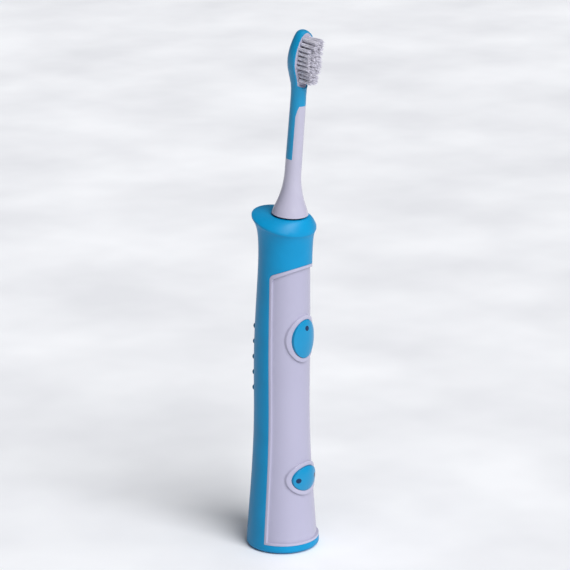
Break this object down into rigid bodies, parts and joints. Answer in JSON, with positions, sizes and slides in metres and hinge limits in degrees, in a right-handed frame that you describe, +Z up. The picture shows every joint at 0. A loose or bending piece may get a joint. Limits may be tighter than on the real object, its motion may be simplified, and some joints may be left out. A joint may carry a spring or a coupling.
{
  "type": "electric toothbrush",
  "caption": "Rechargeable toothbrush standing on its foot: blue handle with white front panel and two domed buttons, leaning shaft, slip-on brush head, charging well below.",
  "frame": {"origin": "centre of the charging well's mouth, on the foot's resting plane", "axes": "+Z up along the handle; the buttons and bristles face -Y; +X is to the right seen from behind"},
  "size_m": [0.0322, 0.0377, 0.2342],
  "materials": {
    "blue_shell": "satin moulded, light blue",
    "blue_grip": "soft matt, darker blue",
    "white_shell": "gloss moulded, cool white",
    "blue_button": "soft satin, light blue",
    "dark_window": "dark blue, translucent",
    "black_plastic": "moulded",
    "grey_rubber": "soft matt",
    "lamp": "clear lens",
    "white_plastic": "moulded",
    "copper": "enamelled copper winding",
    "board": "green solder mask",
    "steel": "drawn and ground",
    "cell_sleeve": "printed film sleeve",
    "bronze": "sintered",
    "lamination": "punched sheet",
    "magnet": "nickel plated",
    "white_head": "gloss moulded, white",
    "blue_head": "soft satin, light blue",
    "bristle": "nylon filament"
  },
  "bodies": {
    "handle": {"rear_housing": "blue_shell", "grip_pips": "blue_grip", "front_panel": "white_shell", "power_switch_body": "black_plastic", "mode_switch_body": "black_plastic", "power_button_seal": "grey_rubber", "mode_button_seal": "grey_rubber", "indicator_leds": "lamp", "controller_chip": "black_plastic", "base_cap": "blue_shell", "base_seal_ring": "grey_rubber", "coil_bobbin": "white_plastic", "charging_coil": "copper", "charging_leads": "copper", "inner_chassis": "white_plastic", "circuit_board": "board", "board_screws": "steel", "battery_cell": "cell_sleeve", "battery_tabs": "steel", "battery_pad": "grey_rubber", "drive_frame": "white_plastic", "shaft_bush_lower": "bronze", "shaft_bush_upper": "bronze", "shaft_seal": "grey_rubber", "torsion_spring": "steel", "stator_core": "lamination", "stator_coil": "copper"},
    "rotor": {"drive_shaft": "steel", "magnet_carrier": "steel", "rotor_magnets": "magnet"},
    "brush_head": {"head_core": "white_head", "head_overmould": "blue_head", "bristle_tufts": "bristle", "head_base_ring": "white_head", "head_clip": "steel"},
    "power_key": {"power_button": "blue_button", "power_light_lens": "dark_window", "power_switch_plunger": "black_plastic"},
    "mode_key": {"mode_button": "blue_button", "mode_light_lenses": "dark_window", "mode_switch_plunger": "black_plastic"}
  },
  "joints": [
    {"name": "rotor_turn", "type": "hinge", "parent": "handle", "child": "rotor", "pos_m": [0, -0.0041, 0.153], "axis": [0, -0.0915, 0.9958], "range_deg": [-5, 5], "stiffness_Nm_per_rad": 0.1},
    {"name": "head_pull_off", "type": "slide", "parent": "rotor", "child": "brush_head", "axis": [0, -0.0915, 0.9958], "range_m": [0, 0.024]},
    {"name": "power_press", "type": "slide", "parent": "handle", "child": "power_key", "axis": [0, 1, 0], "range_m": [0, 0.0005], "stiffness_N_per_m": 1500},
    {"name": "mode_press", "type": "slide", "parent": "handle", "child": "mode_key", "axis": [0, 1, 0], "range_m": [0, 0.0005], "stiffness_N_per_m": 1500}
  ]
}
